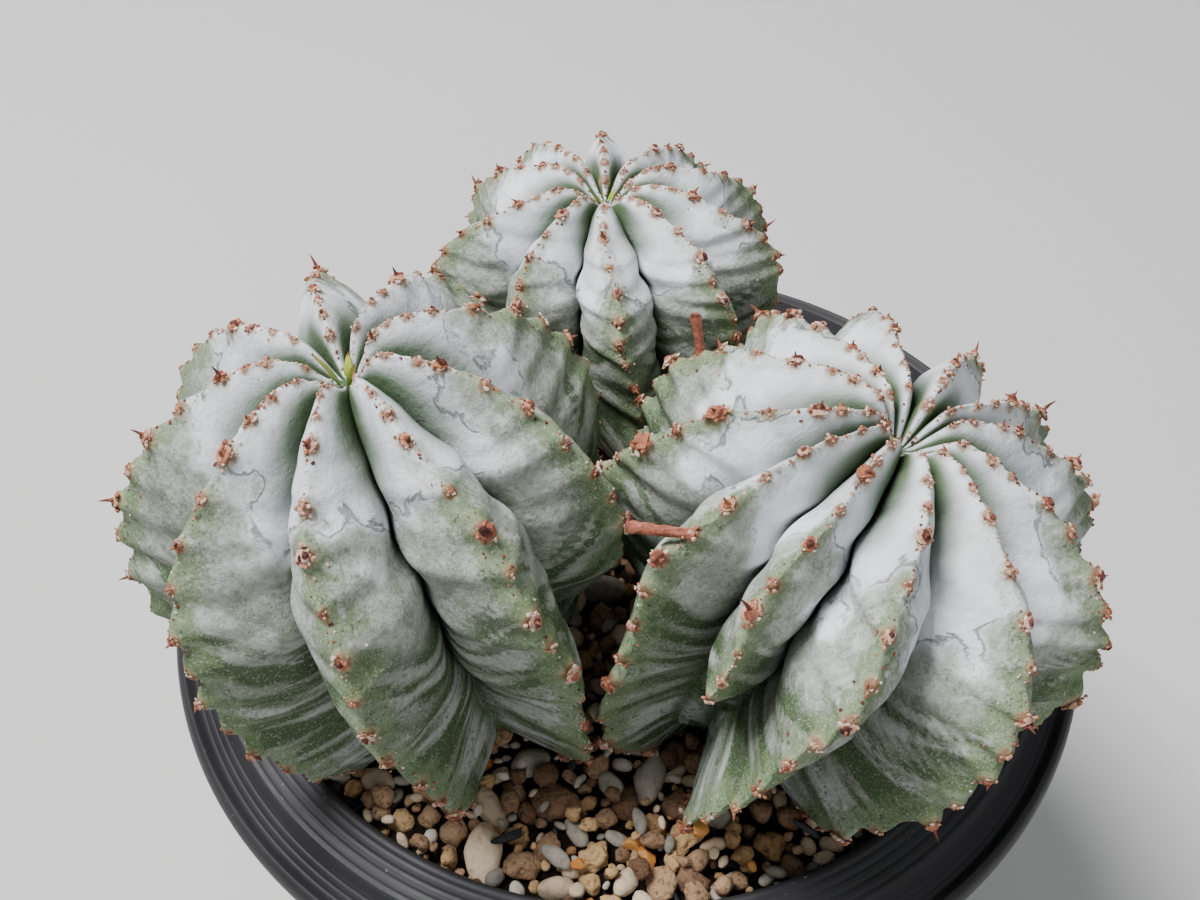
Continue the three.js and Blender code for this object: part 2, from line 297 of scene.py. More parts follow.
class Paint:
    """Short calls for one material's nodes"""

    def __init__(self, name, roughness=0.7, specular=0.4):
        self.material = bpy.data.materials.new(name)
        self.material.use_nodes = True
        self.tree = self.material.node_tree
        self.shader = self.tree.nodes["Principled BSDF"]
        self.shader.inputs["Roughness"].default_value = roughness
        self.shader.inputs["Specular IOR Level"].default_value = specular
        self.place = self.node("ShaderNodeTexCoord").outputs["Object"]

    def node(self, kind, **settings):
        node = self.tree.nodes.new(kind)
        for key, value in settings.items():
            setattr(node, key, value)
        return node

    def join(self, value, socket):
        if isinstance(value, bpy.types.NodeSocket):
            self.tree.links.new(value, socket)
        else:
            socket.default_value = value

    def value(self, name):
        """A piece's point value"""
        return self.node("ShaderNodeAttribute", attribute_name=name).outputs["Fac"]

    def vector(self, name):
        """A piece's point vector"""
        return self.node("ShaderNodeAttribute", attribute_name=name).outputs["Vector"]

    def stretched(self, scale):
        node = self.node("ShaderNodeMapping")
        self.join(self.place, node.inputs["Vector"])
        node.inputs["Scale"].default_value = scale
        return node.outputs["Vector"]

    def noise(self, size_mm, detail=3, rough=0.55, twist=0.0, place=None):
        node = self.node("ShaderNodeTexNoise")
        self.join(place or self.place, node.inputs["Vector"])
        node.inputs["Scale"].default_value = 1 / (size_mm * MM)
        node.inputs["Detail"].default_value = detail
        node.inputs["Roughness"].default_value = rough
        node.inputs["Distortion"].default_value = twist
        return node.outputs["Fac"]

    def math(self, operation, first, second=0.0):
        node = self.node("ShaderNodeMath", operation=operation)
        self.join(first, node.inputs[0])
        self.join(second, node.inputs[1])
        return node.outputs[0]

    def times(self, *values):
        result = values[0]
        for value in values[1:]:
            result = self.math("MULTIPLY", result, value)
        return result

    def plus(self, first, *others):
        """First plus others, each given as a value and its share"""
        result = first
        for value, share in zip(others[::2], others[1::2]):
            result = self.math("ADD", result, self.math("MULTIPLY", value, share))
        return result

    def span(self, value, low, high, to_low=0.0, to_high=1.0):
        """Value from low to high, drawn out smoothly to the range given"""
        node = self.node("ShaderNodeMapRange", interpolation_type="SMOOTHSTEP")
        self.join(value, node.inputs["Value"])
        node.inputs["From Min"].default_value = low
        node.inputs["From Max"].default_value = high
        node.inputs["To Min"].default_value = to_low
        node.inputs["To Max"].default_value = to_high
        return node.outputs["Result"]

    def ramp(self, value, stops):
        node = self.node("ShaderNodeValToRGB")
        self.join(value, node.inputs["Fac"])
        elements = node.color_ramp.elements
        while len(elements) < len(stops):
            elements.new(0.5)
        for element, (position, color) in zip(elements, stops):
            element.position = position
            element.color = (*color, 1)
        return node.outputs["Color"]

    def mix(self, factor, first, second):
        node = self.node("ShaderNodeMix", data_type="RGBA")
        self.join(factor, node.inputs["Factor"])
        for value, socket in ((first, node.inputs["A"]), (second, node.inputs["B"])):
            self.join(value if isinstance(value, bpy.types.NodeSocket) else (*value, 1), socket)
        return node.outputs["Result"]

    def bump(self, height, distance_mm, strength):
        node = self.node("ShaderNodeBump")
        self.join(height, node.inputs["Height"])
        node.inputs["Distance"].default_value = distance_mm * MM
        node.inputs["Strength"].default_value = strength
        return node.outputs["Normal"]

    def finish(self, color, normal=None, roughness=None):
        self.join(color, self.shader.inputs["Base Color"])
        if normal is not None:
            self.join(normal, self.shader.inputs["Normal"])
        if roughness is not None:
            self.join(roughness, self.shader.inputs["Roughness"])
        return self.material


CHALK = (0.80, 0.82, 0.85)
CHALK_SHADE = (0.58, 0.63, 0.66)
CHALK_VIOLET = (0.56, 0.57, 0.66)
WORN_SKIN = [(0.38, (0.13, 0.165, 0.095)), (0.46, (0.245, 0.275, 0.21)),
             (0.54, (0.38, 0.40, 0.355)), (0.64, (0.57, 0.58, 0.56))]
OLD_SKIN = [(0.38, (0.05, 0.078, 0.032)), (0.46, (0.125, 0.155, 0.095)),
            (0.54, (0.23, 0.255, 0.20)), (0.64, (0.44, 0.455, 0.415))]
CREST_GREEN = (0.155, 0.215, 0.105)
LEAF_GREEN = (0.045, 0.085, 0.025)
CROWN_GREEN = (0.045, 0.09, 0.022)
# Nearly black green for the furrows' tight slits: painted shade in the crease over green skin
SLIT_SHADE_GREEN = (0.014, 0.026, 0.011)
FLECK = (0.055, 0.075, 0.045)
CRACK = (0.022, 0.030, 0.018)
STREAK_WHITE = (0.62, 0.65, 0.66)
RUST = (0.22, 0.095, 0.055)
OCHRE = (0.44, 0.37, 0.21)


def skin_values(p):
    """Point values and noises that the coats of the skin share"""
    n = SimpleNamespace(**{key: p.value(key) for key in ("age", "away", "knob", "tight")})
    n.broad = p.noise(14, detail=3)
    n.cloud = p.noise(6, detail=4)
    n.patch = p.noise(2.4, detail=5, rough=0.62, twist=0.3)
    n.mottle = p.noise(1.3, detail=6, rough=0.68, place=p.vector("flow"))
    n.grain = p.noise(0.75, detail=6, rough=0.74)
    n.fine = p.noise(0.3, detail=4, rough=0.7)
    # The wax wears off where the skin is older, along an uneven line
    drift = p.noise(6, detail=1.5)
    n.ragged = p.plus(p.value("wear"), n.broad, 0.34, drift, 0.24, n.mottle, 0.06)
    n.worn = p.span(n.ragged, 0.64, 0.70)
    n.oldest = p.span(n.ragged, 0.80, 0.97)
    strip = p.plus(n.away, n.patch, 0.6, n.cloud, 0.5, n.grain, 0.25)
    n.crest = p.times(p.span(strip, 0.99, 0.83), p.span(n.age, 0.08, 0.27, 0.1, 1.0))
    contour = p.math("ABSOLUTE", p.math("SUBTRACT", p.plus(n.ragged, n.grain, 0.01), 0.655))
    n.crack = p.times(p.span(contour, 0.007, 0.002), p.span(p.noise(6, detail=3), 0.42, 0.54))
    return n


def wax_coat(p, n):
    """White wax, shaded and here and there violet"""
    chalk = p.mix(p.span(p.plus(n.cloud, n.mottle, 0.4), 0.55, 0.90), CHALK, CHALK_SHADE)
    return p.mix(p.times(p.span(n.broad, 0.5, 0.66), 0.25), chalk, CHALK_VIOLET)


def old_coat(p, n, color):
    """Grey-green skin where the wax is gone: banded growth lines and pale streaks at the foot"""
    bare = p.plus(p.times(n.patch, 0.34), n.mottle, 0.33, n.grain, 0.33)
    color = p.mix(p.times(n.worn, 0.9), color, p.ramp(bare, WORN_SKIN))
    color = p.mix(p.times(n.oldest, 0.95), color, p.ramp(bare, OLD_SKIN))
    soft = p.plus(p.value("band"), n.mottle, 0.65, n.patch, 0.35, n.grain, 0.5)
    dark = p.times(p.span(soft, 1.18, 1.36), p.span(n.ragged, 0.71, 0.90))
    pale = p.times(p.span(soft, 1.12, 0.90), n.oldest)
    color = p.mix(p.times(dark, 0.9), color, LEAF_GREEN)
    color = p.mix(p.times(pale, 0.42), color, STREAK_WHITE)
    opened = p.math("SUBTRACT", 1.0, n.tight)
    valley = p.times(p.span(p.plus(n.away, n.patch, 0.4), 0.88, 1.14), opened, p.span(n.age, 0.48, 0.64))
    color = p.mix(p.times(valley, 0.85), color, LEAF_GREEN)
    streak = p.plus(p.value("streak"), n.mottle, 0.5)
    foot = p.times(p.span(streak, 0.70, 0.94), p.span(n.age, 0.74, 0.88))
    return p.mix(p.times(foot, 0.6), color, STREAK_WHITE)


def green_places(p, n, color):
    """Greener beside the crests and round the crown, and painted shade, a nearly black green, in the
    furrows' tight slits
    """
    color = p.mix(p.times(n.crest, p.plus(0.42, n.worn, 0.38)), color, CREST_GREEN)
    crown = p.times(p.span(n.away, 0.2, 0.7), p.span(n.age, 0.17, 0.05))
    color = p.mix(p.times(crown, 0.95), color, CROWN_GREEN)
    # Painted shade: the tight slits of the furrows darkened to nearly black green
    slit = p.times(p.span(n.away, 0.90, 0.985), n.tight)
    return p.mix(slit, color, SLIT_SHADE_GREEN)


def broken_wax(p, n, color):
    """Dark flecks where the wax is broken, a broken crack along its worn edge and pale grains"""
    edge = p.times(p.span(n.ragged, 0.61, 0.66), p.span(n.ragged, 0.78, 0.69))
    broken = p.math("MAXIMUM", p.times(edge, 0.5), p.math("MAXIMUM", n.crest, n.oldest))
    broken = p.math("MAXIMUM", broken, p.times(n.worn, 0.6))
    where = p.span(p.noise(3.2, detail=3), 0.38, 0.56)
    speck = p.plus(p.noise(0.5, detail=4, rough=0.7), n.mottle, 0.4, n.grain, 0.3)
    color = p.mix(p.times(p.span(speck, 0.88, 0.97), where, broken, 0.8), color, FLECK)
    color = p.mix(p.times(n.crack, 0.6), color, CRACK)
    light = p.times(p.span(n.fine, 0.55, 0.64), p.math("MAXIMUM", n.worn, n.crest), 0.38)
    return p.mix(light, color, STREAK_WHITE)


def areole_stain(p, n, color):
    """Ochre stain and rusty crust round each areole"""
    stain = p.times(p.span(p.plus(n.knob, n.patch, 0.8), 0.80, 1.2), 0.5)
    color = p.mix(stain, color, OCHRE)
    rust = p.span(p.plus(n.knob, n.grain, 1.1), 1.14, 1.38)
    return p.mix(p.times(rust, 0.8), color, RUST)


def skin_material():
    """Chalky wax over grey-green skin: white on the upper flanks, banded and worn lower down"""
    p = Paint("skin", roughness=0.72, specular=0.22)
    n = skin_values(p)
    color = wax_coat(p, n)
    color = old_coat(p, n, color)
    color = green_places(p, n, color)
    color = broken_wax(p, n, color)
    color = areole_stain(p, n, color)
    lumps = p.noise(1.5, detail=5, rough=0.6)
    height = p.plus(lumps, n.grain, 0.5, n.fine, 0.25, n.mottle, 0.8, n.crack, -0.6)
    return p.finish(color, p.bump(height, 0.28, 0.65))


def crust_material():
    """Dry crusty scars and thorns, from maroon through brown to orange and pink"""
    p = Paint("crust", roughness=0.8, specular=0.25)
    grain = p.noise(0.5, detail=5, rough=0.65)
    mixed = p.plus(p.times(p.value("tone"), 0.85), p.math("SUBTRACT", grain, 0.5), 0.7)
    color = p.ramp(mixed, [(0.02, (0.040, 0.014, 0.012)), (0.20, (0.12, 0.038, 0.028)),
                           (0.40, (0.25, 0.085, 0.055)), (0.55, (0.43, 0.17, 0.085)),
                           (0.70, (0.54, 0.31, 0.22)), (0.84, (0.64, 0.45, 0.37)),
                           (0.97, (0.72, 0.62, 0.50))])
    return p.finish(color, p.bump(grain, 0.25, 0.9))


def stone_material(name, dark, light, roughness, grain_mm, relief_mm, hollow_shade):
    """One kind of gravel: each stone its own tone, with grain and painted shade in its hollows"""
    p = Paint(name, roughness=roughness, specular=0.3)
    grain = p.noise(grain_mm, detail=6, rough=0.68)
    veil = p.noise(grain_mm * 5, detail=4)
    value = p.plus(p.times(p.value("tone"), 0.55), grain, 0.35, veil, 0.2)
    color = p.ramp(value, [(0.25, dark), (0.8, light)])
    # Painted shade: where the bump's grain is low, the stone is darkened towards a third of its dark tone
    shade = tuple(0.3 * c for c in dark)
    color = p.mix(p.times(p.span(grain, 0.48, 0.34), hollow_shade), color, shade)
    return p.finish(color, p.bump(p.plus(grain, veil, 0.6), relief_mm, 0.9))


def soil_material():
    """Dark damp growing mix between the stones"""
    p = Paint("soil", roughness=0.95, specular=0.15)
    grain = p.noise(1.6, detail=7, rough=0.7)
    color = p.ramp(grain, [(0.35, (0.004, 0.003, 0.003)), (0.6, (0.018, 0.012, 0.008)),
                           (0.78, (0.07, 0.045, 0.03))])
    return p.finish(color, p.bump(grain, 1.2, 1.0))


def pot_material():
    """Matt black moulded plastic with haze, turned lines, scratches and pale dust"""
    p = Paint("pot_plastic", roughness=0.5, specular=0.32)
    haze = p.noise(12, detail=5, rough=0.6)
    grain = p.noise(0.3, detail=3)
    turned = p.noise(0.9, detail=2, place=p.stretched((0.02, 0.02, 1)))
    scratch = p.span(p.noise(2.5, detail=5, rough=0.75, twist=2.0), 0.66, 0.70)
    color = p.mix(haze, (0.012, 0.0117, 0.013), (0.029, 0.028, 0.032))
    specks = p.times(p.span(p.noise(0.7, detail=1), 0.74, 0.79), p.span(haze, 0.45, 0.6))
    color = p.mix(p.times(specks, 0.6), color, (0.32, 0.30, 0.27))
    color = p.mix(p.times(scratch, 0.25), color, (0.16, 0.15, 0.15))
    height = p.plus(grain, turned, 0.6, scratch, 0.5)
    return p.finish(color, p.bump(height, 0.04, 0.5), p.span(haze, 0.3, 0.7, 0.48, 0.60))


def leaf_material():
    """Young leaf, from green at the root to yellow at the tip"""
    p = Paint("young_leaf", roughness=0.45, specular=0.4)
    veins = p.noise(0.4, detail=3)
    value = p.plus(p.value("tone"), p.math("SUBTRACT", veins, 0.5), 0.4)
    color = p.ramp(value, [(0.0, (0.09, 0.18, 0.02)), (0.4, (0.21, 0.33, 0.03)),
                           (0.75, (0.42, 0.47, 0.05)), (1.0, (0.50, 0.34, 0.06))])
    return p.finish(color, p.bump(veins, 0.1, 0.5))


def stalk_material():
    """Dry reddish flower stalk with pale fibres"""
    p = Paint("dry_stalk", roughness=0.7, specular=0.3)
    fibre = p.noise(0.35, detail=4, rough=0.6)
    value = p.plus(p.times(fibre, 0.8), p.value("tone"), 0.3)
    color = p.ramp(value, [(0.3, (0.14, 0.035, 0.022)), (0.6, (0.36, 0.115, 0.07)),
                           (0.85, (0.54, 0.25, 0.17))])
    return p.finish(color, p.bump(fibre, 0.2, 0.8))


def floor_material():
    p = Paint("floor", roughness=0.8, specular=0.3)
    shade = tuple(0.97 * c for c in FLOOR_COLOR)
    return p.finish(p.mix(p.noise(120, detail=2), FLOOR_COLOR, shade))


# Heads

def crest_line(head, u):
    """Radius and height of the crests for u from 0 at the crown to pi at the foot"""
    side = np.sin(u)
    rise = np.abs(np.cos(u))
    above = u < math.pi / 2
    foot_radius = head["foot_radius"]
    low_radius = foot_radius + (head["girth"] - foot_radius) * np.abs(side) ** head["tuck"]
    radius = np.where(above, head["girth"] * side, low_radius)
    top = head["belly"] + (head["tall"] - head["belly"]) * rise
    height = np.where(above, top, head["belly"] * (1 - rise))
    return radius, height - head["dip"] * np.exp(-((radius / DIP_RADIUS) ** 2))


def furrow_share(u):
    """How far out the furrow's bottom lies, as a share of the crest's radius"""
    crown = (1 - FURROW_SHARE) * np.exp(-((u / CROWN_JOIN) ** 2))
    return FURROW_SHARE + crown + FOOT_FILL * smooth_step(u - FOOT_FILL_FROM)


def tightness(u):
    """How closely the ribs' flanks meet: open at the crown and low down, tight between"""
    closing = smooth_step((u - CROWN_OPEN) / CROWN_OPEN_SPAN)
    return closing * (1 - smooth_step((u - LOW_OPEN) / LOW_OPEN_SPAN))


def section(away, u):
    """A rib's section: 1 on the crest, 0 in the furrow's bottom"""
    closed = 1 - FLANK_SLOPE * away - (1 - FLANK_SLOPE) * away ** SLIT_POWER
    power = CROWN_ROUND + (1 - CROWN_ROUND) * smooth_step((u - 0.3) / 0.6) + 0.5 * smooth_step(u - 1)
    spread = (1 - away) ** power
    return spread + tightness(u) * (closed - spread)


def rib_direction(rib, u):
    """Direction of a rib about the head's middle, in radians, as it turns on the way down"""
    return np.radians(rib["at"] + rib["turn"] * (u - TURN_FROM) / TURN_SPAN)


def rib_reach(rib, u):
    """How far out a rib's crest goes, as a share of the usual crest"""
    return rib["reach"] * (1 - rib["short"] * smooth_step((u - FADE_FROM) / FADE_SPAN))


def bend(head, points):
    """Turns points of the straight head about its foot, so that it leans above the foot"""
    toward = math.radians(head["toward"])
    axis = np.array([-math.sin(toward), math.cos(toward), 0])
    angle = math.radians(head["lean"]) * smooth_step(points[..., 2:] / BEND_HEIGHT)
    across = np.cross(axis, points)
    along = axis * (points @ axis)[..., None]
    return points * np.cos(angle) + across * np.sin(angle) + along * (1 - np.cos(angle))


def furrow_direction(head, index, u):
    """Direction of the furrow that follows a rib, swaying a little on its way down"""
    ribs = head["ribs"]
    here = rib_direction(ribs[index % len(ribs)], u)
    after = rib_direction(ribs[(index + 1) % len(ribs)], u)
    half = np.mod(after - here, 2 * math.pi) / 2
    sway = sum(width * np.sin(waves * u + shift * index) for width, waves, shift in FURROW_WAVES)
    radius = 9 + 0.5 * head["girth"] * np.sin(u)
    return here + half + sway * smooth_step((u - 0.2) / 0.5) * np.sin(u) / radius


def crest_bump(head, index, u):
    """Bumps of the crest, one for each areole, some of them higher"""
    uneven = 1 + BUMP_UNEVEN * np.sin(5.3 * u + 2.4 * index) * np.sin(11 * u + 1.7 * index)
    height = BUMP * uneven * head["girth"] / USUAL_GIRTH * np.minimum(1, 1.5 * u)
    return height * np.cos(2 * TUBERCLES * u + math.pi * index) * np.sin(u)


def blunted(away):
    """Share of the way from the crest to the furrow, with the crest's edge rounded off"""
    blunt = np.sqrt(away ** 2 + CREST_BLUNT ** 2) - CREST_BLUNT
    return blunt / (math.sqrt(1 + CREST_BLUNT ** 2) - CREST_BLUNT)


def rib_points(head, index, step, u):
    """Points of a rib and their directions: step 0 is the crest, 1 and -1 the furrows beside it"""
    ribs = head["ribs"]
    rib = ribs[index]
    direction = rib_direction(rib, u)
    after_gap = np.mod(furrow_direction(head, index, u) - direction, 2 * math.pi)
    before = furrow_direction(head, (index - 1) % len(ribs), u)
    before_gap = np.mod(direction - before, 2 * math.pi)
    gap = np.where(step > 0, after_gap, before_gap)
    away = np.abs(step)
    crest_radius, crest_height = crest_line(head, u)
    top = crest_radius * rib_reach(rib, u) + crest_bump(head, index, u)
    share = furrow_share(u)
    low = crest_radius * share
    low_height = head["belly"] + (crest_height - head["belly"]) * (0.5 + 0.5 * share)
    beat = np.cos(2 * TUBERCLES * (u - PILLOW_DIP * away) + math.pi * index)
    pillow = PILLOW * np.sin(math.pi * np.minimum(away / 0.9, 1)) * (0.8 + 0.4 * beat)
    full = section(blunted(away), u) + pillow * smooth_step(u / 0.8)
    radius = low + (top - low) * full
    height = low_height + (crest_height - low_height) * full
    sway = SWAY * np.sin(SWAY_WAVES * u + 2 * index) * np.sin(u) * (1 - away) / (radius + 1)
    angle = direction + gap * step + sway
    points = np.stack([radius * np.cos(angle), radius * np.sin(angle), height + 0 * angle], -1)
    return bend(head, points), angle


def column_steps(count):
    """Steps across a rib, closer together at the crest and in the slit of the furrow"""
    t = (np.arange(count) + 1) / count
    half = t - SLIT_CROWDING * np.sin(2 * math.pi * t) / (2 * math.pi)
    return np.concatenate([-half[:-1][::-1], [0], half])


def skin_age(u, away):
    """Growth lines: they dip towards the furrows above the belly, and lie level below it"""
    return u - LINE_DIP * away * (1 - smooth_step((u - 1.5) / 0.8)) * smooth_step(u / 0.8)


def ring_faces(rings, columns, first):
    """Four-sided faces between closed rings of points, whose first point has the number given"""
    ring = np.arange(rings - 1)[:, None] * columns + first
    i = np.arange(columns)[None, :]
    j = (i + 1) % columns
    quads = np.stack([ring + i, ring + columns + i, ring + columns + j, ring + j], -1)
    return quads.reshape(-1, 4).tolist()


def grid_normals(points):
    """Outward directions of a grid of points whose rows go down and whose columns go round"""
    down = np.roll(points, -1, 0) - np.roll(points, 1, 0)
    down[0] = points[1] - points[0]
    down[-1] = points[-1] - points[-2]
    around = np.roll(points, -1, 1) - np.roll(points, 1, 1)
    return unit(np.cross(down, around))


def place_areoles(head, points, crest_columns, random):
    """Where each rib's areoles sit on the skin's grid, with their outward and downward directions"""
    normals = grid_normals(points)
    rings, columns = points.shape[:2]
    spots = []
    for index, rib in enumerate(head["ribs"]):
        last = LAST_ON_SHORT_RIB if rib["short"] else LAST_ON_RIB
        for k in AREOLE_STEPS:
            shift = random.uniform(-AREOLE_SHIFT, AREOLE_SHIFT)
            u = math.pi * (2 * k + index % 2 * min(1, k / 2) + shift) / (2 * TUBERCLES)
            if u > last:
                continue
            ring = int(round((u / math.pi) * (rings - 1)))
            ring = min(max(ring, 2), rings - 4)
            column = crest_columns[index]
            beside = [(column + s) % columns for s in BESIDE_CREST]
            out = unit(normals[ring, beside].mean(0))
            down = unit(points[ring + 3, column] - points[ring - 2, column])
            main = k % 2 == 0
            size = (1.0 if main else SECOND_SIZE) * random.uniform(*AREOLE_SIZES) * min(1, 0.62 + 0.6 * u)
            spots.append(dict(index=index, ring=ring, column=column, u=u, out=out, down=down,
                              main=main, size=size * head["girth"] / USUAL_GIRTH))
    return spots


def raise_knobs(points, spots, per_rib):
    """Lifts the crest into a knob at each areole and says how near each point is to one"""
    rings, columns = points.shape[:2]
    lifted = points.copy()
    near = np.zeros((rings, columns))
    for spot in spots:
        first = spot["index"] * per_rib
        rows = slice(max(spot["ring"] - KNOB_RINGS, 0), spot["ring"] + KNOB_RINGS + 1)
        block = rows, slice(first, first + per_rib)
        centre = points[spot["ring"], spot["column"]]
        distance = np.linalg.norm(points[block] - centre, axis=-1)
        spread = KNOB_SPREAD * spot["size"] ** 0.5
        hump = np.exp(-((distance / spread) ** 2))
        lifted[block] += spot["out"] * (KNOB_HEIGHT * spot["size"] * hump)[..., None]
        near[block] = np.maximum(near[block], np.exp(-((distance / (1.15 * spread)) ** 2)))
    for spot in spots:
        spot["place"] = lifted[spot["ring"], spot["column"]]
    return lifted, near


def skin_relief(points, u, away, band, streak):
    """How far the skin stands out: uneven growth, bands, streaks at the foot and grit on the crests"""
    rough = noise_at(points * 0.17 + 7, 4)
    low = smooth_step((u - 1.4) / 0.7)
    foot = smooth_step((u - 2.4) / 0.4)
    relief = ROUGH_RELIEF * rough * smooth_step(u / 0.5) * (1 - 0.8 * away ** 4)
    banded = (0.25 + 0.75 * low) * (1 - 0.6 * foot) * smooth_step(u / 0.6)
    relief = relief - BAND_RELIEF * (band - 0.5) * banded
    relief = relief + STREAK_RELIEF * (streak - 0.5) * foot
    grit = noise_at(points * 1.1 + 31, 2)
    relief = relief + CREST_GRIT * grit * smooth_step((0.22 - away) / 0.15)
    return relief * smooth_step((math.pi - u) / 0.15)


def head_grid(name, head, random):
    """The skin's grid of points in the head's own place, its point values and its areoles"""
    ribs = head["ribs"]
    steps = column_steps(COLUMNS_PER_RIB[name] // 2)
    per_rib = len(steps)
    u = np.linspace(FIRST_RING, 1, HEAD_RINGS[name])[:, None] * math.pi
    blocks = [rib_points(head, i, steps[None, :], u) for i in range(len(ribs))]
    points = np.concatenate([b[0] for b in blocks], 1)
    angle = np.concatenate([b[1] for b in blocks], 1)
    away = np.tile(np.abs(steps), len(ribs))[None, :] + 0 * u
    age = skin_age(u, away)
    flow = np.stack([age * BANDS, 2.6 * np.cos(angle), 2.6 * np.sin(angle)], -1)
    band = 0.5 + 0.75 * noise_at(flow, 3)
    around_foot = np.stack([u * 1.3 + 0 * angle, 13 * np.cos(angle), 13 * np.sin(angle)], -1)
    streak = 0.5 + 0.8 * noise_at(around_foot, 2)
    relief = skin_relief(points, u, away, band, streak) * head["girth"] / USUAL_GIRTH
    points = points + grid_normals(points) * relief[..., None]
    crest_columns = [i * per_rib + (per_rib - 1) // 2 for i in range(len(ribs))]
    spots = place_areoles(head, points, crest_columns, random)
    points, knob = raise_knobs(points, spots, per_rib)
    values = dict(age=age / math.pi, wear=age / math.pi + head["wear"], away=away, band=band,
                  streak=streak, knob=knob, tight=tightness(u) + 0 * away)
    flow = np.stack([age * head["girth"] * MM, 0.012 * np.cos(angle), 0.012 * np.sin(angle)], -1)
    return points, values, flow, spots


def make_skin(name, head, points, values, flow, material):
    """Closed skin: crown point, ribbed rings, a round stem below the ground and its end"""
    rings, columns = points.shape[:2]
    crown = rib_points(head, 0, np.array([[0.0]]), np.array([[1e-4]]))[0].reshape(1, 3)
    angle = np.arctan2(points[-1, :, 1], points[-1, :, 0])
    stem = []
    for radius, height in ((STEM_RADIUS, -1.2), (STEM_RADIUS - 1, -STEM_DEPTH)):
        stem.append(np.stack([radius * np.cos(angle), radius * np.sin(angle), height + 0 * angle], -1))
    end = np.array([[0, 0, -STEM_DEPTH]])
    vertices = np.concatenate([crown, points.reshape(-1, 3), *stem, end])
    faces = ring_faces(rings + 2, columns, 1)
    faces += [(0, 1 + i, 1 + (i + 1) % columns) for i in range(columns)]
    last = 1 + (rings + 1) * columns
    faces += [(last + i, len(vertices) - 1, last + (i + 1) % columns) for i in range(columns)]
    piece = mesh_object(name + "_skin", vertices + np.array([*head["foot"], GROUND]), faces)
    plain = dict(away=1, band=0.5, streak=0.5, knob=0, tight=0)
    at_crown = dict(age=0, wear=0, **plain)
    below = dict(age=1, wear=1, **plain)
    for key, value in values.items():
        flat = [at_crown[key], *value.ravel(), *([below[key]] * (2 * columns + 1))]
        point_values(piece, key, flat)
    ends = flow[-1, :1].repeat(2 * columns + 1, 0)
    point_vectors(piece, "flow", np.concatenate([flow[0, :1], flow.reshape(-1, 3), ends]))
    return place_piece(piece, material, name)


# Small closed shapes gathered into one piece

def ball(level):
    """Corners and faces of a round grain of unit size"""
    shape = bmesh.new()
    bmesh.ops.create_icosphere(shape, subdivisions=level, radius=1)
    corners = np.array([v.co[:] for v in shape.verts])
    faces = [[v.index for v in f.verts] for f in shape.faces]
    shape.free()
    return corners, faces


class Heap:
    """Many small closed shapes gathered into one piece, each point with its own tone"""

    def __init__(self):
        self.points = []
        self.faces = []
        self.tones = []
        self.count = 0

    def add(self, points, faces, tone):
        self.points.append(points)
        self.faces += [[corner + self.count for corner in face] for face in faces]
        self.tones.append(np.broadcast_to(tone, len(points)))
        self.count += len(points)

    def piece(self, name, slot, material, sharp_degrees=None):
        piece = mesh_object(name, np.concatenate(self.points), self.faces, sharp_degrees=sharp_degrees)
        point_values(piece, "tone", np.concatenate(self.tones))
        return place_piece(piece, material)


FLAKE = ball(1)
GRAIN_SMALL = ball(2)
GRAIN_FINE = ball(3)
GRAIN_FINEST = ball(4)


def tube(path, radii, sides):
    """A closed tube through a path of points, for thorns and stalks"""
    path = np.asarray(path, float)
    along = unit(np.gradient(path, axis=0))
    helper = np.array([0.31, 0.22, 0.92])
    if abs(along[0] @ helper) >= 0.9:
        helper = np.array([1, 0, 0])
    first = unit(np.cross(along, helper))
    second = np.cross(along, first)
    turn = np.linspace(0, 2 * math.pi, sides, endpoint=False)
    circle = np.cos(turn)[None, :, None] * first[:, None] + np.sin(turn)[None, :, None] * second[:, None]
    rings = path[:, None] + circle * np.asarray(radii)[:, None, None]
    points = np.concatenate([path[:1], rings.reshape(-1, 3), path[-1:]])
    faces = [face[::-1] for face in ring_faces(len(path), sides, 1)]
    last = 1 + (len(path) - 1) * sides
    for i in range(sides):
        j = (i + 1) % sides
        faces.append([0, 1 + i, 1 + j])
        faces.append([len(points) - 1, last + j, last + i])
    return points, faces


def crumb(heap, shape, place, axes, sizes, tone, random):
    """One crusty flake: a ball pushed in and out by noise, stretched along three axes"""
    corners, faces = shape
    offset = random.uniform(-50, 50, 3)
    pushed = 1 + 0.6 * noise_at(corners * 1.3 + offset, 2)
    heap.add(place + (corners * pushed[:, None] * sizes) @ axes, faces, tone)


def thorn(heap, spot, place, axes, others, random):
    """A short dry thorn, a little bent, darker towards its tip, where no other head is near"""
    down, side, out = axes
    size = spot["size"]
    length = size * (random.uniform(0.9, 2.2) if spot["main"] else random.uniform(0.6, 1.3))
    lean = random.normal(0, 0.3, 2)
    way = unit(out + lean[0] * down + lean[1] * side + np.array([0, 0, 0.15]))
    curve = random.normal(0, 0.12) * side + random.normal(0.05, 0.1) * down
    t = np.array([-0.1, 0.25, 0.6, 0.85, 1.0])
    path = place + (way[None, :] * t[:, None] + curve[None, :] * (t ** 2)[:, None]) * length
    if others.find_nearest(Vector(path[-1]), THORN_CLEARANCE)[0] is not None:
        return
    radii = size ** 0.5 * 0.3 * np.array([1.3, 0.85, 0.5, 0.28, 0.08])
    points, faces = tube(path, radii, 5)
    tone = np.repeat([0.5, 0.45, 0.35, 0.25, 0.12], 5) + random.uniform(-0.12, 0.18)
    heap.add(points, faces, np.concatenate([[0.5], tone, [0.1]]))


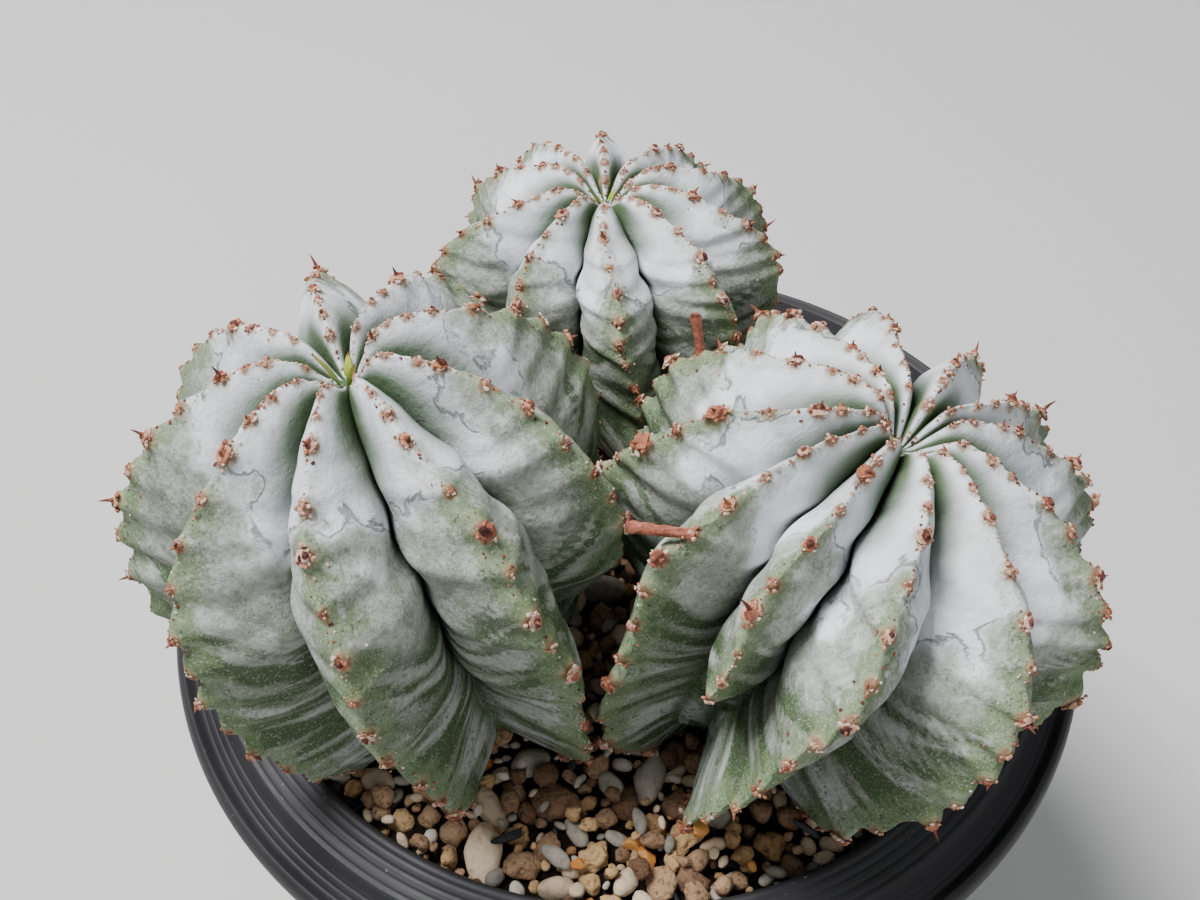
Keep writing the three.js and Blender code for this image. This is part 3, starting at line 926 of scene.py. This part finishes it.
def main_scar(heap, spot, place, axes, random):
    """A pale rim round a heart of two lumps, which is darker while the skin is young"""
    down, side, out = axes
    size = spot["size"]
    rim = size * np.array([0.92, 0.78, 0.34])
    crumb(heap, GRAIN_SMALL, place - 0.1 * out, axes, rim, random.uniform(0.5, 0.95), random)
    heart = random.uniform(*(OLD_HEART if spot["u"] > OLD_FROM else YOUNG_HEART))
    for _ in range(2):
        core = size * random.uniform(0.7, 1.15) * np.array([0.56, 0.42, 0.34])
        shift = 0.14 * out + random.normal(0, 0.2) * down + random.normal(0, 0.15) * side
        tone = heart + random.uniform(-0.1, 0.1)
        crumb(heap, GRAIN_SMALL, place + size * shift, axes, core, tone, random)


def second_scar(heap, spot, place, axes, random):
    """A row of flakes across the crest"""
    down, side, out = axes
    size = spot["size"]
    for shift in np.linspace(-0.8, 0.8, 4) + random.normal(0, 0.1, 4):
        pit = place + shift * size * side - 0.3 * abs(shift) * out + random.normal(0, 0.16) * down
        sizes = size * random.uniform(0.3, 0.46) * np.array([1.1, 1, 0.8])
        crumb(heap, FLAKE, pit, axes, sizes, random.uniform(0.4, 1.05), random)


def loose_flakes(heap, spot, place, axes, random):
    """A ring of flakes round a scar"""
    down, side, out = axes
    size = spot["size"]
    count = MAIN_FLAKES if spot["main"] else SECOND_FLAKES
    for turn in np.linspace(0, 2 * math.pi, count, endpoint=False) + random.normal(0, 0.3, count):
        reach = size * random.uniform(0.75, 1.3)
        across = 0.75 * reach * math.sin(turn)
        flake = place + reach * math.cos(turn) * down + across * side
        flake = flake - (0.05 + 0.42 * abs(across) / max(size, 0.4)) * out
        sizes = size * random.uniform(0.14, 0.36) * np.array([1.3, 0.9, 0.7])
        turned_axes = np.array(Matrix.Rotation(random.uniform(0, 3), 3, "Z")) @ axes
        crumb(heap, FLAKE, flake, turned_axes, sizes, random.uniform(0.35, 1.25), random)


def make_crust(name, head, points, spots, others, material, random):
    """Scars, flakes and thorns that sit on the knobs and along the crests"""
    heap = Heap()
    foot = np.array([*head["foot"], GROUND])
    rings, columns = points.shape[:2]
    for spot in spots:
        place = spot["place"] + foot
        out = spot["out"]
        side = unit(np.cross(out, spot["down"]))
        axes = np.stack([np.cross(side, out), side, out])
        scar = main_scar if spot["main"] else second_scar
        scar(heap, spot, place, axes, random)
        loose_flakes(heap, spot, place, axes, random)
        for _ in range(YOUNG_GRIT if spot["u"] < LESS_GRIT_FROM else OLD_GRIT):
            ring = int(np.clip(spot["ring"] + random.normal(0, 6), 1, rings - 3))
            column = (spot["column"] + int(random.normal(0, 2.2))) % columns
            grit = points[ring, column] + foot - 0.03 * out
            sizes = random.uniform(0.1, 0.26) * np.array([1.2, 1, 0.8])
            crumb(heap, FLAKE, grit, axes, sizes, random.uniform(0.2, 1.2), random)
        if random.random() < (MAIN_THORN_SHARE if spot["main"] else SECOND_THORN_SHARE):
            thorn(heap, spot, place, axes, others, random)
    return heap.piece(name + "_thorns", "thorns", material, 20)


def leaf_points(base, axis, way, lean, length, width):
    """Rings of a leaf's section from its root to its tip, which leans out of the crown"""
    side = np.cross(axis, way)
    points = []
    for i in range(LEAF_ROWS):
        t = i / (LEAF_ROWS - 1)
        centre = base + 0.6 * way + length * (t * axis + lean * t ** 1.6 * way) - 0.8 * axis
        half = 0.5 * width * math.sin(math.pi * (0.12 + 0.86 * t)) ** 0.8
        thick = 0.16 * (1 - 0.7 * t)
        cup = 0.35 * half
        points += [centre + across * half * side + (cupped * cup + above_middle * thick) * way
                   for across, cupped, above_middle in LEAF_SECTION]
    return np.array(points)


def make_leaves(name, head, material):
    """Small pointed young leaves that stand in the crown"""
    heap = Heap()
    count = len(LEAF_SECTION)
    faces = ring_faces(LEAF_ROWS, count, 0)
    faces.append(list(range(count - 1, -1, -1)))
    faces.append([(LEAF_ROWS - 1) * count + i for i in range(count)])
    tone = np.repeat(np.linspace(0, 1, LEAF_ROWS), count)
    base = bend(head, np.array([[0, 0, head["tall"] - head["dip"]]]))[0]
    above = bend(head, np.array([[0, 0, head["tall"] - head["dip"] + 5]]))[0]
    axis = unit(above - base)
    base = base + np.array([*head["foot"], GROUND])
    for turn, lean, length, width in LEAVES[name]:
        angle = math.radians(turn)
        way = np.array([math.cos(angle), math.sin(angle), 0])
        way = unit(way - axis * (way @ axis))
        heap.add(leaf_points(base, axis, way, lean, length, width), faces, tone)
    return heap.piece(name + "_leaves", "skin", material)


def make_stalks(head, spots, material, random):
    """Dry remains of flower stalks, rough tubes with a ragged end"""
    heap = Heap()
    foot = np.array([*head["foot"], GROUND])
    for stalk in STALKS:
        near = [s for s in spots if s["index"] == stalk["rib"]]
        spot = min(near, key=lambda s: abs(s["u"] - stalk["u"]))
        way = unit(np.array(stalk["direction"], float))
        start = spot["place"] + foot - 0.8 * spot["out"] - 0.5 * way
        rows = 12
        t = np.linspace(0, 1, rows)
        droop = np.array([0, 0, -0.35]) * (t ** 2)[:, None]
        path = start + way * (t * (stalk["length"] + 0.5))[:, None] + droop
        radii = STALK_RADIUS * (1 + 0.1 * np.sin(9 * t + 1) + random.normal(0, 0.05, rows))
        radii[-2:] *= (1.15, 0.8)
        points, faces = tube(path, radii, 12)
        points = points + 0.09 * noise_at(points * 1.4, 2)[:, None]
        heap.add(points, faces, random.uniform(0, 1, len(points)))
    return heap.piece("dry_flower_stalks", "thorns", material)


# Gravel and soil

def stone_places(sizes, level, heads_tree, taken, random):
    """Places for stones of each size on the soil, clear of each other and of the heads"""
    for count, low, high in sizes:
        placed = 0
        for _ in range(count * STONE_TRIES):
            if placed == count:
                break
            radius = random.uniform(low, high)
            reach = MOUTH_RADIUS - STONE_WALL_GAP - radius
            distance = reach * math.sqrt(random.random())
            angle = random.uniform(0, 2 * math.pi)
            spot = np.array([distance * math.cos(angle), distance * math.sin(angle),
                             level + random.uniform(-0.5, 0.5)])
            if taken:
                others = np.array(taken)
                apart = np.linalg.norm(others[:, :3] - spot, axis=1)
                if np.any(apart < STONE_SPACING * (others[:, 3] + radius)):
                    continue
            if heads_tree.find_nearest(Vector(spot), radius * HEAD_CLEARANCE)[0] is not None:
                continue
            taken.append([*spot, radius])
            placed += 1
    return taken


def knobbly(corners, random):
    """Cluster of small lumps"""
    lumps = unit(random.normal(0, 1, (24, 3)))
    nearest = np.arccos(np.clip(corners @ lumps.T, -1, 1)).min(1)
    offset = random.uniform(-50, 50, 3)
    broad = noise_at(corners * 0.9 + offset, 2)
    fine = noise_at(corners * 3.6 + offset, 2)
    raised = 0.8 + 0.24 * np.exp(-((nearest / 0.3) ** 2)) + 0.42 * broad + 0.09 * fine
    return corners * raised[:, None] * (1, 0.85, 0.8)


def porous(corners, random):
    """Blunt block with a granular, pitted face"""
    offset = random.uniform(-50, 50, 3)
    fine = noise_at(corners * 4.2 + offset, 3)
    return broken(corners, random) * (1.1 + 0.16 * fine)[:, None]


def pebble(corners, random):
    """Worn stone, longer than wide, its old faces still to be felt"""
    long = random.uniform(1.0, 1.55)
    worn = 0.45 * broken(corners, random) + 0.6 * corners * (0.95, 0.8, 0.7)
    offset = random.uniform(-50, 50, 3)
    return worn * (1 + 0.12 * noise_at(corners * 0.9 + offset, 2))[:, None] * (long, 0.88, 0.8)


def broken(corners, random):
    """Broken stone with flat faces and worn edges"""
    facets = unit(random.normal(0, 1, (13, 3)))
    depth = random.uniform(0.66, 0.98, 13)
    facing = corners @ facets.T
    reach = np.where(facing > 0.15, depth / np.maximum(facing, 0.15), 9).min(1)
    rough = 1 + 0.05 * noise_at(corners * 2.5 + random.uniform(-50, 50, 3), 2)
    return corners * (np.minimum(reach, 1.25) * rough)[:, None] * (1, 0.9, 0.75)


def shard(corners, random):
    """Long thin chip"""
    return broken(corners, random) * (1.5, 0.5, 0.42)


STONE_SHAPES = {
    "gravel_brown": porous, "gravel_tan": knobbly, "gravel_cream": pebble,
    "gravel_grey": pebble, "gravel_orange": broken, "gravel_black": shard,
}


# Dark and light tones, roughness, grain and relief in mm, and how strong the painted shade in the hollows
# is
STONE_LOOKS = {
    "gravel_brown": ((0.17, 0.09, 0.05), (0.58, 0.36, 0.21), 0.95, 0.7, 1.1, 0.75),
    "gravel_tan": ((0.36, 0.20, 0.085), (0.82, 0.54, 0.27), 0.95, 0.8, 1.1, 0.6),
    "gravel_cream": ((0.42, 0.32, 0.22), (0.82, 0.65, 0.46), 0.7, 1.2, 0.3, 0.3),
    "gravel_grey": ((0.19, 0.17, 0.145), (0.60, 0.54, 0.45), 0.65, 1.4, 0.25, 0.3),
    "gravel_orange": ((0.45, 0.16, 0.03), (0.75, 0.36, 0.10), 0.45, 1.0, 0.15, 0.1),
    "gravel_black": ((0.010, 0.010, 0.011), (0.060, 0.060, 0.063), 0.4, 0.8, 0.2, 0.1),
}


def grain_for(radius, covered):
    """A finer ball for a larger stone, and a coarser one under a head"""
    if covered:
        return GRAIN_FINE if radius > FINEST_STONE_FROM else GRAIN_SMALL
    if radius > FINEST_STONE_FROM:
        return GRAIN_FINEST
    return GRAIN_FINE if radius > FINE_STONE_FROM else GRAIN_SMALL


def stone_points(kind, corners, place, radius, random):
    """A stone of its kind's shape, turned and tipped in its place and kept below the pot's rim"""
    shape = STONE_SHAPES[kind](corners, random) * radius
    turned = Matrix.Rotation(random.uniform(0, 2 * math.pi), 3, "Z")
    tipped = Matrix.Rotation(random.normal(0, STONE_TILT), 3, "X")
    rolled = Matrix.Rotation(random.normal(0, STONE_TILT), 3, "Y")
    points = shape @ np.array(turned @ tipped @ rolled).T + np.array(place)
    points[:, 2] = np.minimum(points[:, 2], POT_HEIGHT - 0.3 + 0.1 * points[:, 2] / POT_HEIGHT)
    return points


def make_gravel(heads_tree):
    """Single stones of six kinds that cover the soil, in one piece for each kind"""
    random = np.random.default_rng(GRAVEL_SEED)
    taken = stone_places(STONE_SIZES, STONE_LEVEL, heads_tree, [], random)
    taken = stone_places(UPPER_STONES, UPPER_LEVEL, heads_tree, taken, random)
    names = [name for name, _ in STONE_KINDS]
    shares = np.array([share for _, share in STONE_KINDS])
    materials = {name: stone_material(name, *look) for name, look in STONE_LOOKS.items()}
    heaps = {name: Heap() for name in names}
    for *place, radius in taken:
        kind = names[random.choice(len(names), p=shares / shares.sum())]
        covered = heads_tree.ray_cast(Vector(place), Vector((0, 0, 1)))[0] is not None
        corners, faces = grain_for(radius, covered)
        points = stone_points(kind, corners, place, radius, random)
        heaps[kind].add(points, faces, random.random())
    for name in names:
        sharp = 28 if STONE_SHAPES[name] in (broken, shard) else None
        piece = heaps[name].piece(name, "gravel", materials[name], sharp)
        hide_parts("soil")


def inner_wall():
    """The pot's inner wall, from the floor's edge up to the mouth"""
    return [
        (BASE_RADIUS - WALL, FLOOR),
        (LIP_RADIUS - 3.6, LIP_Z - 5),
        (LIP_RADIUS - 4.4, LIP_Z - 1.5),
        (MOUTH_RADIUS - WALL / 2, POT_HEIGHT - 4),
    ]


def lathe(profile, sides):
    """A closed round shape about Z from a profile that starts and ends on the axis"""
    inner = np.asarray(profile[1:-1], float)
    turn = np.linspace(0, 2 * math.pi, sides, endpoint=False)
    x = inner[:, :1] * np.cos(turn)
    y = inner[:, :1] * np.sin(turn)
    z = inner[:, 1:] + 0 * x
    rings = np.stack([x, y, z], -1)
    first = np.array([[0, 0, profile[0][1]]])
    last = np.array([[0, 0, profile[-1][1]]])
    points = np.concatenate([first, rings.reshape(-1, 3), last])
    faces = [face[::-1] for face in ring_faces(len(inner), sides, 1)]
    end = 1 + (len(inner) - 1) * sides
    for i in range(sides):
        j = (i + 1) % sides
        faces.append([0, 1 + j, 1 + i])
        faces.append([len(points) - 1, end + i, end + j])
    return points, faces


def make_soil(material):
    """Growing mix that fills the pot, its top uneven and drawn up round each foot"""
    wall = [(r - SOIL_GAP, z) for r, z in inner_wall()[:3]]
    top_radius = MOUTH_RADIUS - 3
    rows = [(top_radius * (1 - i / SOIL_RINGS), SOIL_TOP) for i in range(SOIL_RINGS)]
    points, faces = lathe([(0, FLOOR), *wall, *rows, (0, SOIL_TOP)], SOIL_SIDES)
    top = np.abs(points[:, 2] - SOIL_TOP) < 0.01
    lumps = SOIL_LUMPS * noise_at(points * 0.35, 4)
    mound = np.zeros(len(points))
    for head in HEADS.values():
        distance = np.hypot(points[:, 0] - head["foot"][0], points[:, 1] - head["foot"][1])
        mound = np.maximum(mound, MOUND_HEIGHT * np.exp(-((distance / MOUND_RADIUS) ** 4)))
    points[:, 2] += np.where(top, lumps + mound, 0)
    piece = mesh_object("soil_bed", points, faces, sharp_degrees=50)
    return place_piece(piece, material, "soil")


# Pot

def grooved(start, end, grooves):
    """Points from start to end of a profile, with narrow grooves pressed in between"""
    start = np.array(start, float)
    end = np.array(end, float)
    across = unit(end - start)
    inward = np.array([-across[1], across[0]])
    samples = 10 * grooves
    points = []
    for i in range(1, samples + 1):
        t = i / samples
        dip = GROOVE_DEPTH * (0.5 - 0.5 * math.cos(2 * math.pi * grooves * t)) ** 3
        points.append(tuple(start + (end - start) * t + inward * dip))
    return points


# The lip's and the mouth's outline, outward and up from the lip's edge and from the mouth's
LIP_OUTLINE = [
    (-2, -4.5), (-1.1, -3.4), (-0.5, -2.2), (-0.12, -1), (0, 0), (-0.12, 0.9),
    (-0.45, 1.7), (-0.85, 2.15), (-1.25, 2.3), (-1.65, 2.1), (-1.95, 1.65), (-2.4, 1.45),
]
MOUTH_OUTLINE = [(0.5, -0.05), (0.1, 0), (-0.3, -0.1), (-0.65, -0.5), (-WALL / 2, -1.2)]


def pot_profile():
    """The pot's outline from the middle of its underside round the collar to its floor inside"""
    lip = [(LIP_RADIUS + out, LIP_Z + up) for out, up in LIP_OUTLINE]
    step = (LIP_RADIUS - 5.1, LIP_Z + 3.5)
    step_top = (LIP_RADIUS - 5.9, LIP_Z + 5.2)
    band = (LIP_RADIUS - 8.4, LIP_Z + 6.1)
    mouth = [(MOUTH_RADIUS + out, POT_HEIGHT + up) for out, up in MOUTH_OUTLINE]
    side = [(BASE_RADIUS - 1, 0), (BASE_RADIUS - 0.3, 0.3), (BASE_RADIUS, 1)]
    return [(0, 0), *side, *lip, *grooved(lip[-1], step, 3), (LIP_RADIUS - 5.5, LIP_Z + 4.6), step_top,
            *grooved(step_top, band, 2), *grooved(band, mouth[0], 2), *mouth[1:],
            *reversed(inner_wall()), (0, FLOOR)]


def cut_drains(piece):
    """Cuts the drain holes through the pot's floor"""
    cutters = []
    for i in range(DRAIN_HOLES):
        angle = i * 2 * math.pi / DRAIN_HOLES
        x = DRAIN_RING_RADIUS * math.cos(angle)
        y = DRAIN_RING_RADIUS * math.sin(angle)
        hole, hole_faces = tube([(x, y, -1), (x, y, FLOOR + 1)], [DRAIN_RADIUS] * 2, DRAIN_SIDES)
        cutter = mesh_object("drain_cutter_%d" % i, hole, hole_faces)
        cutters.append(cutter)
        cut = piece.modifiers.new("drain_%d" % i, "BOOLEAN")
        cut.operation = "DIFFERENCE"
        cut.object = cutter
        cut.solver = "EXACT"
    shown = piece.evaluated_get(bpy.context.evaluated_depsgraph_get())
    cut_mesh = bpy.data.meshes.new_from_object(shown)
    piece.modifiers.clear()
    piece.data = cut_mesh
    for cutter in cutters:
        bpy.data.objects.remove(cutter)


def make_pot(material):
    """Black pot with a stepped, finely grooved collar and drain holes"""
    points, faces = lathe(pot_profile(), POT_SIDES)
    piece = mesh_object("pot_shell", points, faces)
    cut_drains(piece)
    piece.data.polygons.foreach_set("use_smooth", [True] * len(piece.data.polygons))
    piece.data.set_sharp_from_angle(angle=math.radians(40))
    return place_piece(piece, material, "pot")


# Camera, light and floor

def make_camera():
    """The photograph's own view, from a fitted camera"""
    data = bpy.data.cameras.new("camera")
    data.sensor_width = SENSOR_MM
    data.sensor_fit = "HORIZONTAL"
    data.lens = SENSOR_MM * FOCAL_PX / IMAGE_WIDTH_PX
    data.clip_start = 0.01
    camera = bpy.data.objects.new("camera", data)
    bpy.context.scene.collection.objects.link(camera)
    look = Vector((0, math.cos(CAMERA_DOWN), -math.sin(CAMERA_DOWN)))
    place = (Vector(CAMERA_TARGET_MM) - look * CAMERA_DISTANCE_MM) * MM
    turn = Matrix.Rotation(math.pi / 2 - CAMERA_DOWN, 4, "X") @ Matrix.Rotation(CAMERA_ROLL, 4, "Z")
    camera.matrix_world = Matrix.Translation(place) @ turn
    bpy.context.scene.camera = camera


def area_light(name, place, size, power):
    """A round soft light that points at the plant"""
    data = bpy.data.lights.new(name, "AREA")
    data.shape = "DISK"
    data.size = size
    data.energy = power
    light = bpy.data.objects.new(name, data)
    bpy.context.scene.collection.objects.link(light)
    light.location = place
    light.rotation_euler = (Vector(LIGHT_AIM) - Vector(place)).to_track_quat("-Z", "Y").to_euler()


def make_studio():
    """Plain pale floor, an even sky and the lights"""
    corners = [(x * FLOOR_REACH, y * FLOOR_REACH, 0) for x, y in ((-1, -1), (1, -1), (1, 1), (-1, 1))]
    floor = mesh_object("floor", corners, [(0, 1, 2, 3)], smooth=False)
    floor.data.materials.append(floor_material())
    world = bpy.data.worlds.new("studio")
    world.use_nodes = True
    background = world.node_tree.nodes["Background"]
    background.inputs["Color"].default_value = SKY_COLOR
    background.inputs["Strength"].default_value = SKY_STRENGTH
    bpy.context.scene.world = world
    for name, place, size, power in LIGHTS:
        area_light(name, place, size, power)


def skin_tree(skins):
    """A search tree of the skins given, in millimetres"""
    points = []
    faces = []
    for skin in skins:
        first = len(points)
        points += [v.co / MM for v in skin.data.vertices]
        faces += [[corner + first for corner in face.vertices] for face in skin.data.polygons]
    return BVHTree.FromPolygons(points, faces)


def make_heads():
    """All heads with what grows on them, and one search tree of their skins"""
    skin = skin_material()
    crust = crust_material()
    leaf = leaf_material()
    skins = {}
    grown = {}
    for number, (name, head) in enumerate(HEADS.items()):
        random = np.random.default_rng(HEAD_SEED + number)
        points, values, flow, spots = head_grid(name, head, random)
        skins[name] = make_skin(name, head, points, values, flow, skin)
        grown[name] = (points, spots, random)
    for name, head in HEADS.items():
        points, spots, random = grown[name]
        others = skin_tree([skins[other] for other in HEADS if other != name])
        make_crust(name, head, points, spots, others, crust, random)
        make_leaves(name, head, leaf)
        if name == "head_right":
            make_stalks(head, spots, stalk_material(), random)
    return skin_tree(skins.values())


make_camera()
make_studio()
tree = make_heads()
make_gravel(tree)
make_soil(soil_material())
make_pot(pot_material())
